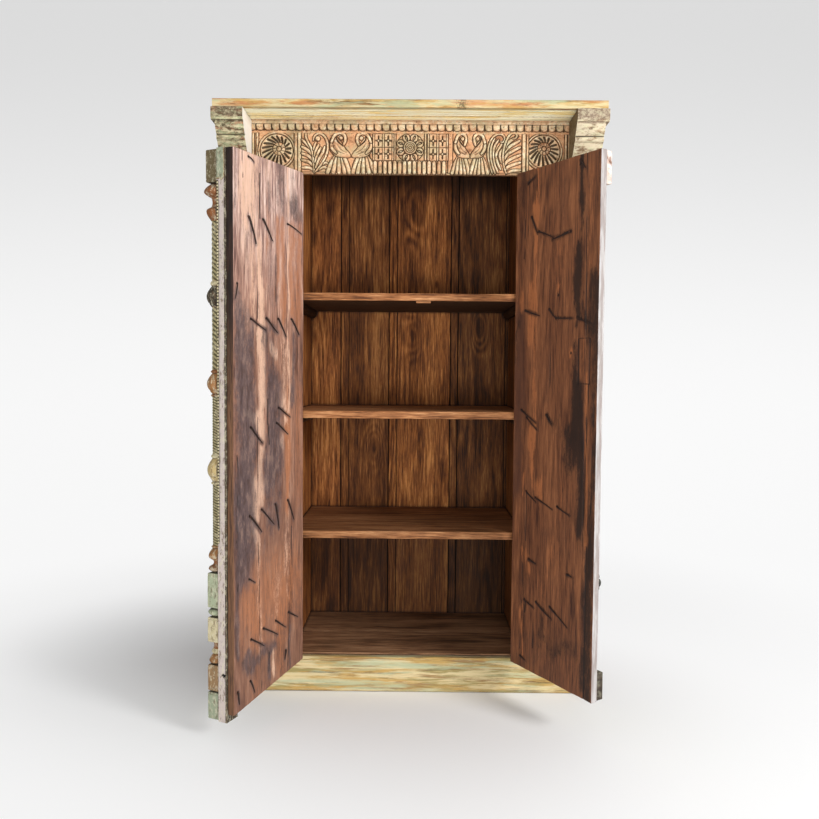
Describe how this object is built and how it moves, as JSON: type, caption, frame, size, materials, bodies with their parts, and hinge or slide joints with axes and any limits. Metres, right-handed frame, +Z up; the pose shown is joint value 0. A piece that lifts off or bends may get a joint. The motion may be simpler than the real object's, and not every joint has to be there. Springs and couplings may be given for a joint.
{
  "type": "storage cabinet",
  "caption": "Tall free-standing wooden cupboard with carved frieze, projecting cornice, open plank doors on side hinges and fixed inner shelves.",
  "frame": {"origin": "middle of the underside of the base rail, on the floor", "axes": "+X to the right seen from the front, +Y into the cabinet, +Z up"},
  "size_m": [1.168, 0.8434, 1.829],
  "materials": {
    "teak_inside": "oiled, satin, knotty grain",
    "stained_outside": "stained, satin",
    "cornice_paint": "distressed cream and ochre paint, worn through",
    "base_paint": "distressed ochre, olive and mint paint",
    "frieze_paint": "worn terracotta paint on carved wood, cream on the raised parts",
    "corbel_paint_left": "weathered olive and brown paint",
    "corbel_paint_right": "worn cream paint",
    "frame_paint": "distressed cream and olive paint",
    "iron": "forged, rusty and dark",
    "left_planks": "old red-brown wood with grey and pale stains",
    "right_planks": "old dark red-brown wood with black burn marks",
    "astragal_paint": "worn cream, green and orange paint",
    "boss_paint": "dark worn paint",
    "ledge_paint": "worn cream paint"
  },
  "bodies": {
    "carcass": {"back_board_1": "teak_inside", "back_board_2": "teak_inside", "back_board_3": "teak_inside", "back_board_4": "teak_inside", "back_board_5": "teak_inside", "back_board_6": "teak_inside", "back_board_7": "teak_inside", "base_rail": "base_paint", "catch_block": "teak_inside", "corbel_left": "corbel_paint_left", "corbel_right": "corbel_paint_right", "cornice_fascia": "cornice_paint", "floor_board_front": "teak_inside", "floor_board_rear": "teak_inside", "frieze_board": "frieze_paint", "hinge_pintles_left": "iron", "hinge_pintles_right": "iron", "inner_wall_left": "teak_inside", "inner_wall_right": "teak_inside", "jamb_board_left": "frame_paint", "jamb_board_right": "frame_paint", "pilaster_left": "frame_paint", "pilaster_right": "frame_paint", "shelf_1": "teak_inside", "shelf_2": "teak_inside", "shelf_3": "teak_inside", "shelf_cleats_left": "teak_inside", "shelf_cleats_right": "teak_inside", "side_panel_left": "stained_outside", "side_panel_right": "stained_outside", "soffit_moulding": "cornice_paint", "top_board": "stained_outside"},
    "left_leaf": {"left_leaf_astragal_board": "astragal_paint", "left_leaf_astragal_column": "astragal_paint", "left_leaf_batten_1": "ledge_paint", "left_leaf_batten_2": "ledge_paint", "left_leaf_batten_3": "ledge_paint", "left_leaf_batten_4": "ledge_paint", "left_leaf_batten_5": "ledge_paint", "left_leaf_bottom_ledge": "ledge_paint", "left_leaf_hinge_eyes": "iron", "left_leaf_nails": "iron", "left_leaf_plank_hinge_side": "left_planks", "left_leaf_plank_lead_side": "left_planks", "left_leaf_top_ledge": "ledge_paint"},
    "right_leaf": {"right_leaf_batten_1": "ledge_paint", "right_leaf_batten_2": "ledge_paint", "right_leaf_batten_3": "ledge_paint", "right_leaf_batten_4": "ledge_paint", "right_leaf_batten_5": "ledge_paint", "right_leaf_boss": "boss_paint", "right_leaf_bottom_ledge": "ledge_paint", "right_leaf_hinge_eyes": "iron", "right_leaf_nails": "iron", "right_leaf_plank_hinge_side": "right_planks", "right_leaf_plank_lead_side": "right_planks", "right_leaf_top_ledge": "ledge_paint"}
  },
  "joints": [
    {"name": "left_leaf_hinge", "type": "hinge", "parent": "carcass", "child": "left_leaf", "pos_m": [-0.352, -0.047, 0.87], "axis": [0, 0, -1], "range_deg": [-114.5, 35.5]},
    {"name": "right_leaf_hinge", "type": "hinge", "parent": "carcass", "child": "right_leaf", "pos_m": [0.352, -0.047, 0.87], "axis": [0, 0, 1], "range_deg": [-123, 27]}
  ]
}
